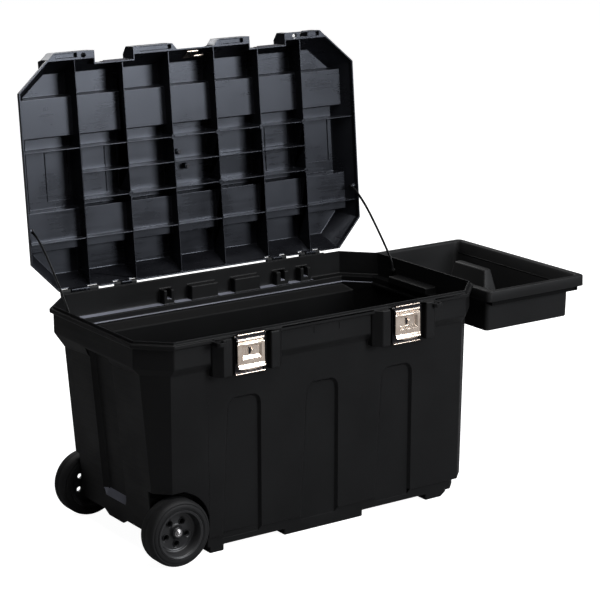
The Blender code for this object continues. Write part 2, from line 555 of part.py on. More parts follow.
def build_latch(s, tag):
    xc = s * LATCH_X
    base = box("latch_base_" + tag, xc - 0.0390, xc + 0.0390, -0.2670, -0.2653, 0.4290, 0.5198)
    weld(base, box("lip", xc - 0.0390, xc + 0.0390, -0.2745, -0.2660, 0.4290, 0.4310))
    for e in (-1, 1):
        ear = [(-0.2660, 0.5080), (-0.2735, 0.5125), (-0.2735, 0.5195), (-0.2660, 0.5198)]
        weld(base, prism("ear", ear, "X", xc + e * 0.0382 - 0.0008, xc + e * 0.0382 + 0.0008))
    cut(base, rod("bore", "X", P1, 0.0018 + FIT, xc - 0.05, xc + 0.05, 12))
    for dx, z in LATCH_RIVETS:
        cut(base, rod("hole", "Y", (xc + dx, z), 0.0018, -0.28, -0.26, 12))
    finish(base, "chrome")
    # lever: a bowed plate with a sunken square and two side arms that carry the pivots
    front = [(-0.2752, 0.5030), (-0.2770, 0.4940), (-0.2776, 0.4800), (-0.2774, 0.4600),
             (-0.2782, 0.4500), (-0.2800, 0.4440), (-0.2830, 0.4390)]
    back = [(-0.2815, 0.4382), (-0.2782, 0.4430), (-0.2764, 0.4490), (-0.2755, 0.4600),
            (-0.2754, 0.4800), (-0.2748, 0.4940), (-0.2732, 0.5030)]
    lever = prism("latch_lever_" + tag, front + back, "X", xc - 0.0365, xc + 0.0365)
    for e in (-1, 1):
        arm = [(-0.2752, 0.4885), (-0.2772, 0.5070), (-0.2755, 0.5115), (-0.2722, 0.5191),
               (-0.2690, 0.5193), (-0.2675, 0.5165), (-0.2690, 0.5130), (-0.2712, 0.4885)]
        weld(lever, prism("arm", arm, "X", xc + e * 0.0350 - 0.0014, xc + e * 0.0350 + 0.0014))
    cut(lever, rod("bore", "X", P1, 0.0018 + FIT, xc - 0.05, xc + 0.05, 12),
        rod("bore", "X", P2, 0.0016 + FIT, xc - 0.05, xc + 0.05, 12),
        box("square", xc - 0.0240, xc + 0.0240, -0.2900, -0.2762, 0.4620, 0.4930),
        rod("lock_hole", "Y", (xc - 0.004, 0.4790), 0.0075 + FIT, -0.29, -0.26, 20))
    finish(lever, "chrome", origin=(xc, P1[0], P1[1]), smooth=30)
    # hook: a plate standing on the lever's pivot, with a lip that reaches over the keeper
    ring = [(P2[0] + 0.0031 * cos(radians(a)), P2[1] + 0.0031 * sin(radians(a)))
            for a in range(120, 401, 20)]
    sec = [(-0.2757, 0.5115), (-0.2762, 0.5190), (-0.2757, 0.5255), (-0.2672, 0.5255), (-0.2672, 0.5237),
           (-0.2740, 0.5237), (-0.2745, 0.5190), (-0.2735, 0.5115)]
    hook = prism("latch_hook_" + tag, ring + sec[::-1], "X", xc - 0.0315, xc + 0.0315)
    cut(hook, rod("bore", "X", P2, 0.0016 + FIT, xc - 0.05, xc + 0.05, 12))
    finish(hook, "chrome", origin=(xc, P2[0], P2[1]), smooth=30)
    finish(rod("latch_pivot_" + tag, "X", P1, 0.0018, xc - 0.0398, xc + 0.0398, 12), "steel", smooth=40)
    finish(rod("latch_hook_pin_" + tag, "X", P2, 0.0016, xc - 0.0372, xc + 0.0372, 12), "steel", smooth=40)
    lock = rod("latch_lock_" + tag, "Y", (xc - 0.004, 0.4790), 0.0075, -0.2778, -0.2705, 24)
    cut(lock, box("key_slot", xc - 0.0048, xc - 0.0032, -0.29, -0.2745, 0.4745, 0.4835))
    finish(lock, "chrome", origin=(xc - 0.004, -0.2778, 0.4790), smooth=30)
    for n, (dx, z) in enumerate(LATCH_RIVETS):
        riv = rod("latch_rivet_%s_%d" % (tag, n + 1), "Y", (xc + dx, z), 0.0028, -0.2684, -0.2673, 12)
        weld(riv, rod("shank", "Y", (xc + dx, z), 0.0015, -0.2680, -0.2620, 12))
        finish(riv, "steel", smooth=40)


# ---------------------------------------------------------------- wheels
def build_wheel(s, tag):
    o, i = AXLE_Y + s * WHEEL_Y1, AXLE_Y + s * WHEEL_Y0
    def y(d):
        return o - s * d
    w = WHEEL_Y1 - WHEEL_Y0
    tyre = spin_y("tyre_" + tag, [(y(0.0005), HUB_R + FIT), (y(0.0), 0.0595), (y(0.0015), 0.0680),
                                  (y(0.0060), 0.0745), (y(0.0150), WHEEL_R),
                                  (y(w - 0.0150), WHEEL_R), (y(w - 0.0060), 0.0745),
                                  (y(w - 0.0015), 0.0680), (y(w), 0.0595), (y(w - 0.0005), HUB_R + FIT)],
                  AXLE_X, AXLE_Z, 36)
    finish(tyre, "rubber", origin=(AXLE_X, 0.5 * (o + i), AXLE_Z), smooth=30)
    hub = spin_y("hub_" + tag, [(y(0.0012), HUB_R), (y(0.0), 0.0550), (y(0.0020), 0.0515),
                                (y(DISH - 0.0015), 0.0470), (y(DISH), 0.0430), (y(DISH - 0.0015), 0.0180),
                                (y(BOSS), 0.0150), (y(BOSS), AXLE_R + FIT), (y(w), AXLE_R + FIT),
                                (y(w), 0.0150), (y(DISH + 0.0070), 0.0170), (y(DISH + 0.0050), 0.0440),
                                (y(w - 0.0030), 0.0515), (y(w - 0.0010), HUB_R)], AXLE_X, AXLE_Z, 36)
    for k in range(5):
        a = radians((54 if s < 0 else 66.6) + 72 * k)
        c = (AXLE_X + 0.0275 * cos(a), AXLE_Z + 0.0275 * sin(a))
        y0, y1 = sorted((y(0.0), y(w)))
        cut(hub, rod("hole", "Y", c, 0.0066, y0 - 0.01, y1 + 0.01, 14))
    finish(hub, "hub", origin=(AXLE_X, 0.5 * (o + i), AXLE_Z), smooth=30)
    nut = spin_y("cap_nut_" + tag, [(y(BOSS - FIT), 0.0092), (y(BOSS - 0.0030), 0.0092),
                                    (y(BOSS - 0.0060), 0.0062), (y(BOSS - 0.0068), 0.0024),
                                    (y(BOSS - 0.0068), 0.0006), (y(BOSS - 0.0050), 0.0006),
                                    (y(BOSS - 0.0050), AXLE_R + FIT), (y(BOSS - FIT), AXLE_R + FIT)],
                 AXLE_X, AXLE_Z, 18)
    finish(nut, "chrome", origin=(AXLE_X, o, AXLE_Z), smooth=35)
    y0, y1 = sorted((AXLE_Y + s * (WELL_Y + 0.0005), AXLE_Y + s * (WHEEL_Y0 - FIT)))
    spacer = spin_y("axle_spacer_" + tag,
                    [(y0, AXLE_R + FIT), (y0, 0.0110), (y1, 0.0110), (y1, AXLE_R + FIT)], AXLE_X, AXLE_Z,
                     18)
    finish(spacer, "hub", smooth=35)


# ---------------------------------------------------------------- tray
def build_tray():
    x0, x1, ty, tz = TRAY_X0, TRAY_X1, TRAY_Y, TRAY_Z
    def ring(k, z, r):
        return rounded(x0 + k, x1 - k, -ty + k, ty - k, r, z)
    low, skirt, roof = 0.3945, 0.4825, 0.5035   # underside of the tray, of its skirt and of its rim
    tray = loft("tray", [ring(0.0185, low, 0.016), ring(0.0125, 0.4720, 0.016), ring(0.0115, roof, 0.016),
                         ring(0.0026, roof, 0.020), ring(0.0022, skirt, 0.020), ring(0.0, skirt, 0.021),
                         ring(0.0010, 0.5050, 0.021), ring(0.0030, tz, 0.021), ring(0.0130, tz, 0.018),
                         ring(0.0148, 0.5050, 0.017), ring(0.0158, 0.4720, 0.015),
                         ring(0.0216, low + 0.0028, 0.014)])
    xm = 0.5 * (x0 + x1) + 0.001
    def hump(k, top, z0):
        return loft("hump", [[(xm + sx * (0.030 - k), 0.010 + sy * (0.085 - k), z0)
                              for sx, sy in ((-1, -1), (1, -1), (1, 1), (-1, 1))],
                             [(xm + sx * (0.0100 - k), 0.010 + sy * (0.0600 - k), top)
                              for sx, sy in ((-1, -1), (1, -1), (1, 1), (-1, 1))]])
    weld(tray, hump(0.0, 0.5020, low + 0.001))
    cut(tray, hump(0.0028, 0.4992, low - 0.004))
    weld(tray, box("rest", 0.4785, 0.5046, -0.055, 0.055, 0.4625, 0.4800))
    finish(tray, "tray", smooth=30)


# ---------------------------------------------------------------- pull handle
def build_handle():
    arm = HANDLE_ARM
    px, pz = HANDLE_X, HANDLE_Z
    grip = rod("pull_handle", "Y", (px + 0.004, pz - arm), 0.0085, -0.1000, 0.1000, 20)
    for s in (-1, 1):
        side = [(px - 0.0075, pz + 0.002), (px - 0.002, pz + 0.0085), (px + 0.004, pz + 0.0085),
                (px + 0.0085, pz + 0.002), (px + 0.0120, pz - arm), (px + 0.0100, pz - arm - 0.0075),
                (px + 0.0000, pz - arm - 0.0080), (px - 0.0040, pz - arm)]
        weld(grip, prism("side", side, "Y", s * 0.0960 - 0.0060, s * 0.0960 + 0.0060))
    cut(grip, rod("bore", "Y", (px, pz), 0.0030 + FIT, -0.12, 0.12, 16))
    finish(grip, "black", origin=(px, 0, pz), smooth=30)
    sleeve = spin_y("handle_grip", [(-0.0700, 0.0088), (-0.0700, 0.0115), (-0.0660, 0.0130), (0.0660,
                                    0.0130),
                                    (0.0700, 0.0115), (0.0700, 0.0088)], px + 0.004, pz - arm, 24)
    finish(sleeve, "rubber", origin=(px, 0, pz), smooth=30)
    for s, tag in ((-1, "front"), (1, "back")):
        y0, y1 = sorted((s * 0.0820, s * 0.1100))
        finish(rod("handle_pivot_" + tag, "Y", (px, pz), 0.0030, y0, y1, 16), "steel", smooth=40)


# ---------------------------------------------------------------- assembly
def main():
    for ob in list(bpy.data.objects):
        bpy.data.objects.remove(ob)
    build_body()
    build_pins()
    lid = build_lid()
    build_lid_fittings(lid)
    build_stays()
    for s, tag in ((-1, "left"), (1, "right")):
        build_latch(s, tag)
    for s, tag in ((-1, "front"), (1, "back")):
        build_wheel(s, tag)
    reach = WHEEL_Y1 - BOSS + 0.0045
    finish(rod("axle", "Y", (AXLE_X, AXLE_Z), AXLE_R, AXLE_Y - reach, AXLE_Y + reach, 24), "steel",
           origin=(AXLE_X, AXLE_Y, AXLE_Z), smooth=40)
    build_tray()
    build_handle()


main()
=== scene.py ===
"""Looks of a rolling tool chest: soft moulded edges, fine pieces and procedural materials."""
import json
from math import sin, cos, pi, radians, hypot

import bpy
import bmesh
from mathutils import Matrix, Vector

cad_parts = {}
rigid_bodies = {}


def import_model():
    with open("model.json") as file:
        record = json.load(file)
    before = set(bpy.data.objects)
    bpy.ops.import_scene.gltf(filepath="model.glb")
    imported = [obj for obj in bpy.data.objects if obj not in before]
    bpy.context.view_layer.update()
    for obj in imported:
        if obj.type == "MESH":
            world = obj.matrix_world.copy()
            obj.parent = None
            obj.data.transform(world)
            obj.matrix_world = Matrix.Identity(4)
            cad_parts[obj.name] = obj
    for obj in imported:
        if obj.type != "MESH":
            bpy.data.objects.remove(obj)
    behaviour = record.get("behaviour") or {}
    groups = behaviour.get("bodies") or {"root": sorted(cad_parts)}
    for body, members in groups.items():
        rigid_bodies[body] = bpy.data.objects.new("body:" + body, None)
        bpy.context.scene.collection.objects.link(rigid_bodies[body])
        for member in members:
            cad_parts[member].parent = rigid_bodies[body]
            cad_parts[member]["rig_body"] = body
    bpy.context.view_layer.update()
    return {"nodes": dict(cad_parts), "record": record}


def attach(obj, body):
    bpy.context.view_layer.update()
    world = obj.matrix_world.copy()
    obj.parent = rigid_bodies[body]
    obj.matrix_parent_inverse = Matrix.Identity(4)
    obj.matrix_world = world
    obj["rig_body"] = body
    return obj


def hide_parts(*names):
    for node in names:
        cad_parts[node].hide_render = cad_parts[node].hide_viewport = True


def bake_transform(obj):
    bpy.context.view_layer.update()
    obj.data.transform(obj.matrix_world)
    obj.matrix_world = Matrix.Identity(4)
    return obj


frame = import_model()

NODES = frame["nodes"]


# ---------------------------------------------------------------- camera, floor and light
def make_camera():
    """Long lens from the front left, high enough to look down into the open chest."""
    yaw, pitch, roll = 0.5974, 0.2519, -0.0045
    x, y, z = -2.6118, -3.9885, 1.7334
    ahead = Vector((sin(yaw) * cos(pitch), cos(yaw) * cos(pitch), -sin(pitch)))
    flat_right = Vector((cos(yaw), -sin(yaw), 0.0))
    flat_up = flat_right.cross(ahead)
    right = cos(roll) * flat_right + sin(roll) * flat_up
    up = cos(roll) * flat_up - sin(roll) * flat_right
    data = bpy.data.cameras.new("camera")
    data.sensor_width = 36.0
    data.lens = 124.29
    data.clip_start, data.clip_end = 0.05, 200.0
    cam = bpy.data.objects.new("camera", data)
    bpy.context.scene.collection.objects.link(cam)
    cam.matrix_world = Matrix(((right.x, up.x, -ahead.x, x), (right.y, up.y, -ahead.y, y),
                               (right.z, up.z, -ahead.z, z), (0, 0, 0, 1)))
    bpy.context.scene.camera = cam


def area_light(name, place, target, size, watts, colour=(1, 1, 1)):
    """A soft box at a place, turned to face its target."""
    data = bpy.data.lights.new(name, "AREA")
    data.shape = "RECTANGLE"
    data.size, data.size_y = size
    data.energy = watts
    data.color = colour
    lamp = bpy.data.objects.new(name, data)
    bpy.context.scene.collection.objects.link(lamp)
    lamp.location = place
    lamp.rotation_mode = "QUATERNION"
    lamp.rotation_quaternion = (Vector(target) - Vector(place)).to_track_quat("-Z", "Y")


def make_background():
    """White to look at, but nearly dark as a source of light."""
    world = bpy.data.worlds.new("studio")
    bpy.context.scene.world = world
    world.use_nodes = True
    tree = world.node_tree
    path = tree.nodes.new("ShaderNodeLightPath")
    shade = tree.nodes.new("ShaderNodeMix")
    shade.data_type = "RGBA"
    shade.inputs["A"].default_value = (0.035, 0.035, 0.038, 1)
    shade.inputs["B"].default_value = (1.0, 1.0, 1.0, 1)
    tree.links.new(path.outputs["Is Camera Ray"], shade.inputs["Factor"])
    tree.links.new(shade.outputs["Result"], tree.nodes["Background"].inputs["Color"])


def make_floor():
    """A plain floor, pale to look at, that bounces little light."""
    bpy.ops.mesh.primitive_plane_add(size=60.0, location=(0, 0, -0.0002))
    floor = bpy.context.object
    floor.name = "floor"
    m = bpy.data.materials.new("floor")
    m.use_nodes = True
    tree = m.node_tree
    path = tree.nodes.new("ShaderNodeLightPath")
    bounce = tree.nodes["Principled BSDF"]
    bounce.inputs["Base Color"].default_value = (0.27, 0.27, 0.275, 1)
    bounce.inputs["Roughness"].default_value = 0.95
    bounce.inputs["Specular IOR Level"].default_value = 0.0
    pale = tree.nodes.new("ShaderNodeEmission")
    pale.inputs["Color"].default_value = (1.0, 1.0, 1.0, 1)
    pale.inputs["Strength"].default_value = 0.97
    paper = tree.nodes.new("ShaderNodeBsdfDiffuse")
    paper.inputs["Color"].default_value = (0.5, 0.5, 0.5, 1)
    seen = tree.nodes.new("ShaderNodeAddShader")
    either = tree.nodes.new("ShaderNodeMixShader")
    tree.links.new(pale.outputs["Emission"], seen.inputs[0])
    tree.links.new(paper.outputs["BSDF"], seen.inputs[1])
    tree.links.new(path.outputs["Is Camera Ray"], either.inputs["Fac"])
    tree.links.new(bounce.outputs["BSDF"], either.inputs[1])
    tree.links.new(seen.outputs["Shader"], either.inputs[2])
    tree.links.new(either.outputs["Shader"], tree.nodes["Material Output"].inputs["Surface"])
    floor.data.materials.append(m)


def make_studio():
    bpy.context.scene.view_settings.view_transform = "Standard"
    make_background()
    make_floor()
    area_light("top_box", (0.3, -1.6, 4.2), (0.1, 0.1, 0.3), (3.6, 3.0), 210)
    area_light("right_box", (1.95, -3.75, 2.12), (0.0, 0.2, 0.95), (1.75, 1.7), 145, (0.93, 0.96, 1.0))
    area_light("left_box", (-3.4, -1.0, 2.4), (0.0, 0.0, 0.4), (1.2, 1.6), 2)
    area_light("back_box", (0.8, 3.4, 2.6), (0.0, 0.0, 0.7), (3.0, 1.6), 60)


# ---------------------------------------------------------------- materials
def new_material(name):
    """A material with its node tree, its Principled shader and the place of each point on the object."""
    m = bpy.data.materials.new(name)
    m.use_nodes = True
    tree = m.node_tree
    place = tree.nodes.new("ShaderNodeTexCoord").outputs["Object"]
    return m, tree, tree.nodes["Principled BSDF"], place


def noise(tree, place, scale, detail, stretch=None):
    """Cloudy noise, or streaks where stretch has different factors for x, y and z."""
    if stretch:
        squeeze = tree.nodes.new("ShaderNodeMapping")
        squeeze.inputs["Scale"].default_value = stretch
        tree.links.new(place, squeeze.inputs["Vector"])
        place = squeeze.outputs["Vector"]
    node = tree.nodes.new("ShaderNodeTexNoise")
    node.inputs["Scale"].default_value = scale
    node.inputs["Detail"].default_value = detail
    tree.links.new(place, node.inputs["Vector"])
    return node.outputs["Fac"]


def maths(tree, operation, *terms):
    """A math node; each term is a number or another node's output."""
    node = tree.nodes.new("ShaderNodeMath")
    node.operation = operation
    for socket, term in zip(node.inputs, terms):
        if isinstance(term, float):
            socket.default_value = term
        else:
            tree.links.new(term, socket)
    return node.outputs[0]


def colour_between(tree, bsdf, value, low, high, start=0.0, end=1.0):
    """Base colour from low to high as the value goes from start to end."""
    colour = tree.nodes.new("ShaderNodeValToRGB")
    first, last = colour.color_ramp.elements
    first.position, last.position = start, end
    first.color, last.color = low + (1,), high + (1,)
    tree.links.new(value, colour.inputs["Fac"])
    tree.links.new(colour.outputs["Color"], bsdf.inputs["Base Color"])


def gloss_between(tree, bsdf, value, low, high, start=0.0, end=1.0):
    """Roughness from low to high as the value goes from start to end."""
    gloss = tree.nodes.new("ShaderNodeMapRange")
    gloss.inputs["From Min"].default_value, gloss.inputs["From Max"].default_value = start, end
    gloss.inputs["To Min"].default_value, gloss.inputs["To Max"].default_value = low, high
    tree.links.new(value, gloss.inputs["Value"])
    tree.links.new(gloss.outputs["Result"], bsdf.inputs["Roughness"])


def relief(tree, bsdf, height, strength, depth):
    """Fine bumps that follow a height value."""
    bump = tree.nodes.new("ShaderNodeBump")
    bump.inputs["Strength"].default_value = strength
    bump.inputs["Distance"].default_value = depth
    tree.links.new(height, bump.inputs["Height"])
    tree.links.new(bump.outputs["Normal"], bsdf.inputs["Normal"])


def plastic(name, rgb, rough, spec, grain=900.0, depth=0.00006, spread=0.10, tint=(1, 1, 1)):
    """Moulded polypropylene: spark-eroded grain, slow gloss changes, faint streaks rubbed along the walls."""
    m, tree, bsdf, place = new_material(name)
    slow = noise(tree, place, 7.0, 5.0)
    colour_between(tree, bsdf, slow, tuple(0.78 * c for c in rgb), tuple(1.25 * c for c in rgb), 0.3, 0.75)
    streaks = noise(tree, place, 1.0, 4.0, (9.0, 9.0, 160.0))
    rubbed = maths(tree, "MULTIPLY_ADD", streaks, 0.35, slow)
    gloss_between(tree, bsdf, rubbed, rough - spread, rough + spread, 0.4, 0.95)
    bsdf.inputs["Specular IOR Level"].default_value = spec
    bsdf.inputs["Specular Tint"].default_value = tint + (1,)
    cells = tree.nodes.new("ShaderNodeTexVoronoi")
    cells.inputs["Scale"].default_value = grain
    tree.links.new(place, cells.inputs["Vector"])
    fine = noise(tree, place, grain * 0.6, 3.0)
    relief(tree, bsdf, maths(tree, "ADD", cells.outputs["Distance"], fine), 0.6, depth)
    return m


def metal(name, rgb, rough):
    """Plated sheet metal with fine wipe marks and slightly cloudy patches."""
    m, tree, bsdf, place = new_material(name)
    bsdf.inputs["Metallic"].default_value = 1.0
    cloudy = (0.66 * rgb[0], 0.60 * rgb[1], 0.56 * rgb[2])
    bright = tuple(min(1.0, 1.08 * c) for c in rgb)
    colour_between(tree, bsdf, noise(tree, place, 60.0, 4.0), cloudy, bright)
    wipes = noise(tree, place, 1.0, 5.0, (400.0, 400.0, 30.0))
    gloss_between(tree, bsdf, wipes, rough * 0.6, rough * 1.6)
    relief(tree, bsdf, wipes, 0.5, 0.00001)
    return m


# ---------------------------------------------------------------- mesh helpers
def put(obj, material, node=None, slot=None, body=None):
    """Gives a new piece its material and its body; the CAD node that it stands for is hidden and lends its
    body.
    """
    obj.data.materials.clear()
    for m in material if isinstance(material, (list, tuple)) else (material,):
        obj.data.materials.append(m)
    if node:
        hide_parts(node)
        body = body or NODES[node]["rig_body"]
        slots = [p["material_slot"] for p in frame["record"]["subparts"] if p["node"] == node]
        slot = slot or (slots[0] if slots else None)
    if body:
        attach(obj, body)
    return obj


def shape(name, verts, faces, sharp=35.0, bevel=0.0):
    """A mesh object with outward normals, smooth between facets that meet below the sharp angle."""
    mesh = bpy.data.meshes.new(name)
    mesh.from_pydata([tuple(v) for v in verts], [], faces)
    bm = bmesh.new()
    bm.from_mesh(mesh)
    bmesh.ops.recalc_face_normals(bm, faces=bm.faces)
    for f in bm.faces:
        f.smooth = True
    bm.to_mesh(mesh)
    bm.free()
    mesh.set_sharp_from_angle(angle=radians(sharp))
    obj = bpy.data.objects.new(name, mesh)
    bpy.context.scene.collection.objects.link(obj)
    if bevel:
        soft = obj.modifiers.new("round", "BEVEL")
        soft.width, soft.segments = bevel, 2
        soft.limit_method, soft.angle_limit = "ANGLE", radians(28)
        soft.harden_normals = True
    return obj


def loft(name, rings, **look):
    """A closed solid through rings of points."""
    n = len(rings[0])
    verts = [p for r in rings for p in r]
    faces = [tuple(range(n)), tuple((len(rings) - 1) * n + i for i in range(n))]
    for k in range(len(rings) - 1):
        for i in range(n):
            j = (i + 1) % n
            faces.append((k * n + i, k * n + j, (k + 1) * n + j, (k + 1) * n + i))
    return shape(name, verts, faces, **look)


def prism(name, outline, axis, a, b, **look):
    """An outline swept from a to b. X takes (y, z), Y takes (x, z), Z takes (x, y)."""
    def at(p, t):
        return {"X": (t, p[0], p[1]), "Y": (p[0], t, p[1]), "Z": (p[0], p[1], t)}[axis]
    return loft(name, [[at(p, a) for p in outline], [at(p, b) for p in outline]], **look)


def box(name, x0, x1, y0, y1, z0, z1, **look):
    return prism(name, [(x0, y0), (x1, y0), (x1, y1), (x0, y1)], "Z", z0, z1, **look)


def arc(cy, cz, r, a0, a1, n=8):
    """Points on an arc, from a0 to a1 degrees."""
    turns = [radians(a0 + (a1 - a0) * i / n) for i in range(n + 1)]
    return [(cy + r * cos(t), cz + r * sin(t)) for t in turns]


def circle(cy, cz, r):
    """Points 15 degrees apart round a circle."""
    return arc(cy, cz, r, 0, 345, 23)


def lathe(name, profile, cx, cz, n=96, lobes=None, **look):
    """A closed (y, radius) profile turned about a line along Y; lobes scales the radius with the angle."""
    verts, faces, m = [], [], len(profile)
    for i in range(n):
        a = 2 * pi * i / n
        for y, r in profile:
            q = r * (lobes(a, r) if lobes else 1.0)
            verts.append((cx + q * cos(a), y, cz + q * sin(a)))
    for i in range(n):
        j = (i + 1) % n
        for k in range(m):
            q = (k + 1) % m
            faces.append((i * m + k, j * m + k, j * m + q, i * m + q))
    return shape(name, verts, faces, **look)


def upright(name, profile, cx, cy, count=24):
    """A (z, radius) profile turned about a vertical line."""
    rings = [[(cx + r * cos(2 * pi * k / count), cy + r * sin(2 * pi * k / count), z) for k in range(count)]
             for z, r in profile]
    return loft(name, rings, sharp=50)


def bored(obj, cutters):
    """Cuts the cutters out of obj for good."""
    for c in cutters:
        m = obj.modifiers.new("bore", "BOOLEAN")
        m.operation, m.solver, m.object = "DIFFERENCE", "EXACT", c
        graph = bpy.context.evaluated_depsgraph_get()
        mesh = bpy.data.meshes.new_from_object(obj.evaluated_get(graph))
        obj.modifiers.clear()
        obj.data = mesh
        bpy.data.objects.remove(c)
    return obj


def rounded(x0, x1, y0, y1, r, z, n=10):
    """Points round a level rectangle with rounded corners."""
    corners = ((x1 - r, y1 - r, 0), (x0 + r, y1 - r, 90), (x0 + r, y0 + r, 180), (x1 - r, y0 + r, 270))
    return [(x, y, z) for cx, cy, a0 in corners for x, y in arc(cx, cy, r, a0, a0 + 90, n)]


# ---------------------------------------------------------------- soft edges on the CAD solids
FLAT = radians(0.6)                  # facets that turn less than this lie in one plane
LEAST_TURN = radians(22)             # edges that turn less than this are not rounded
ROOM_SHARE = 0.42                    # share of the room beside an edge that its rounding may take
BROAD_FACE = 0.0004                  # square metres; above this a face is broad
CREASE, BROAD_CREASE = 40, 3         # degrees from which an edge looks sharp, and between broad faces


def bevel_weight(edge, width):
    """How much of the full edge rounding fits here: none on slivers, all on open edges."""
    if not edge.is_manifold or edge.calc_face_angle(0.0) < LEAST_TURN:
        return 0.0
    length = edge.calc_length()
    room = min(f.calc_area() / length for f in edge.link_faces)
    ends = min(o.calc_length() for v in edge.verts for o in v.link_edges)
    return max(0.0, min(1.0, ROOM_SHARE * min(room, ends, length) / width))


def inner_edges(bm):
    """Edges inside the flat regions that have no hole in them; only those can become one face each."""
    seen, inside = set(), set()
    for start in bm.faces:
        if start in seen:
            continue
        seen.add(start)
        region, edges, rest = [start], set(), [start]
        while rest:
            f = rest.pop()
            for e in f.edges:
                if len(e.link_faces) != 2 or e.calc_face_angle(1.0) > FLAT:
                    continue
                edges.add(e)
                other = e.link_faces[0] if e.link_faces[1] is f else e.link_faces[1]
                if other not in seen:
                    seen.add(other)
                    region.append(other)
                    rest.append(other)
        verts = {v for f in region for v in f.verts}
        if len(verts) - len({e for f in region for e in f.edges}) + len(region) == 1:
            inside |= edges
    # a list in a fixed order, because each run has to give the same mesh
    return [e for e in reversed(bm.edges[:]) if e in inside]


def softened(node, width, material, segments=2, pick=None):
    """A copy of a CAD solid, facets joined and edges rounded; pick chooses each face's material."""
    mesh = NODES[node].data.copy()
    bm = bmesh.new()
    bm.from_mesh(mesh)
    bmesh.ops.remove_doubles(bm, verts=bm.verts, dist=1e-6)
    bmesh.ops.dissolve_limit(bm, angle_limit=FLAT, verts=bm.verts, edges=inner_edges(bm))
    layer = bm.edges.layers.float.new("bevel_weight_edge")
    for e in bm.edges:
        e[layer] = bevel_weight(e, width)
    for e in bm.edges:
        broad = len(e.link_faces) == 2 and min(f.calc_area() for f in e.link_faces) > BROAD_FACE
        e.smooth = e.calc_face_angle(0.0) < radians(BROAD_CREASE if broad else CREASE)
    for f in bm.faces:
        f.smooth = True
    picks = [pick(f) if pick else 0 for f in bm.faces]
    bm.to_mesh(mesh)
    bm.free()
    obj = bpy.data.objects.new(node + "_moulded", mesh)
    bpy.context.scene.collection.objects.link(obj)
    obj.matrix_world = NODES[node].matrix_world
    round_off = obj.modifiers.new("round", "BEVEL")
    round_off.limit_method = "WEIGHT"
    round_off.width = width
    round_off.segments = segments
    round_off.use_clamp_overlap = False
    round_off.harden_normals = True
    put(obj, material, node)
    mesh.polygons.foreach_set("material_index", picks)


# ---------------------------------------------------------------- wheels
AXLE_X, AXLE_Y, AXLE_Z = -0.3918, -0.020, 0.078
WHEEL_R = 0.078
WHEEL_OUT, WHEEL_IN = 0.233, 0.177             # a wheel's faces, from AXLE_Y
WHEEL_W = WHEEL_OUT - WHEEL_IN
HOLE_COUNT, HOLE_RING, HOLE_R = 5, 0.0275, 0.0066
HOLE_TURN = {"front": 54, "back": 66.6}        # degrees


def tyre_profile(y):
    """(y, radius) round the solid tyre: bead lines and a groove on each side, a fine groove on the tread."""
    side = [(0.0010, 0.0573), (0.0000, 0.0582), (0.0000, 0.0592), (0.0010, 0.0598), (0.0010, 0.0604),
            (0.0001, 0.0611), (0.0001, 0.0640), (0.0007, 0.0672), (0.0016, 0.0688), (0.0026, 0.0694),
            (0.0026, 0.0700), (0.0022, 0.0708)]
    shoulder = [radians(a) for a in (12, 26, 42, 58, 74, 90)]
    side += [(0.0150 - 0.0128 * cos(a), 0.0708 + 0.0072 * sin(a)) for a in shoulder]
    tread = [(WHEEL_W * t, WHEEL_R - 0.0003 * (abs(t - 0.5) < 0.06))
             for t in (0.36, 0.43, 0.45, 0.55, 0.57, 0.64)]
    far_side = [(WHEEL_W - d, r) for d, r in side[::-1]]
    return [(y(d), r) for d, r in side + tread + far_side]


def make_tyre(tag, y, rubber):
    tyre = lathe("tyre_%s_fine" % tag, tyre_profile(y), AXLE_X, AXLE_Z, 128, sharp=50)
    put(tyre, rubber, "tyre_" + tag)


def make_hub(tag, y, material):
    """The dished hub, with a ring of holes that each have a raised rim."""
    front = [(0.0012, 0.0570), (0.0004, 0.0566), (0.0002, 0.0556), (0.0004, 0.0546), (0.0013, 0.0540),
             (0.0017, 0.0530), (0.0017, 0.0519), (0.0026, 0.0511), (0.0225, 0.0484), (0.0243, 0.0476),
             (0.0250, 0.0466), (0.0254, 0.0450), (0.0248, 0.0443), (0.0248, 0.0432), (0.0256, 0.0425),
             (0.0260, 0.0400), (0.0258, 0.0190), (0.0250, 0.0172), (0.0226, 0.0150), (0.0206, 0.0138),
             (0.0180, 0.0126), (0.0164, 0.0120), (0.0160, 0.0110), (0.0160, 0.0064)]
    back = [(WHEEL_W, 0.0064), (WHEEL_W, 0.0150), (0.0330, 0.0170), (0.0310, 0.0440),
            (WHEEL_W - 0.0030, 0.0515), (WHEEL_W - 0.0010, 0.0570)]
    hub = lathe("hub_%s_fine" % tag, [(y(d), r) for d, r in front + back], AXLE_X, AXLE_Z, 96, sharp=50)
    rim = [(0.0272, HOLE_R), (0.0240, HOLE_R), (0.0232, 0.0070), (0.0232, 0.0077), (0.0242, 0.0083),
           (0.0272, 0.0085)]
    y0, y1 = sorted((y(-0.01), y(WHEEL_W + 0.01)))
    cutters = []
    for k in range(HOLE_COUNT):
        a = radians(HOLE_TURN[tag] + 360 // HOLE_COUNT * k)
        cx, cz = AXLE_X + HOLE_RING * cos(a), AXLE_Z + HOLE_RING * sin(a)
        cutters.append(prism("bore", circle(cx, cz, HOLE_R), "Y", y0, y1))
        eyelet = lathe("hub_%s_eyelet_%d" % (tag, k + 1), [(y(d), r) for d, r in rim], cx, cz, 32, sharp=50)
        put(eyelet, material, body=NODES["hub_" + tag]["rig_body"], slot="hub_plastic")
    put(bored(hub, cutters), material, "hub_" + tag)


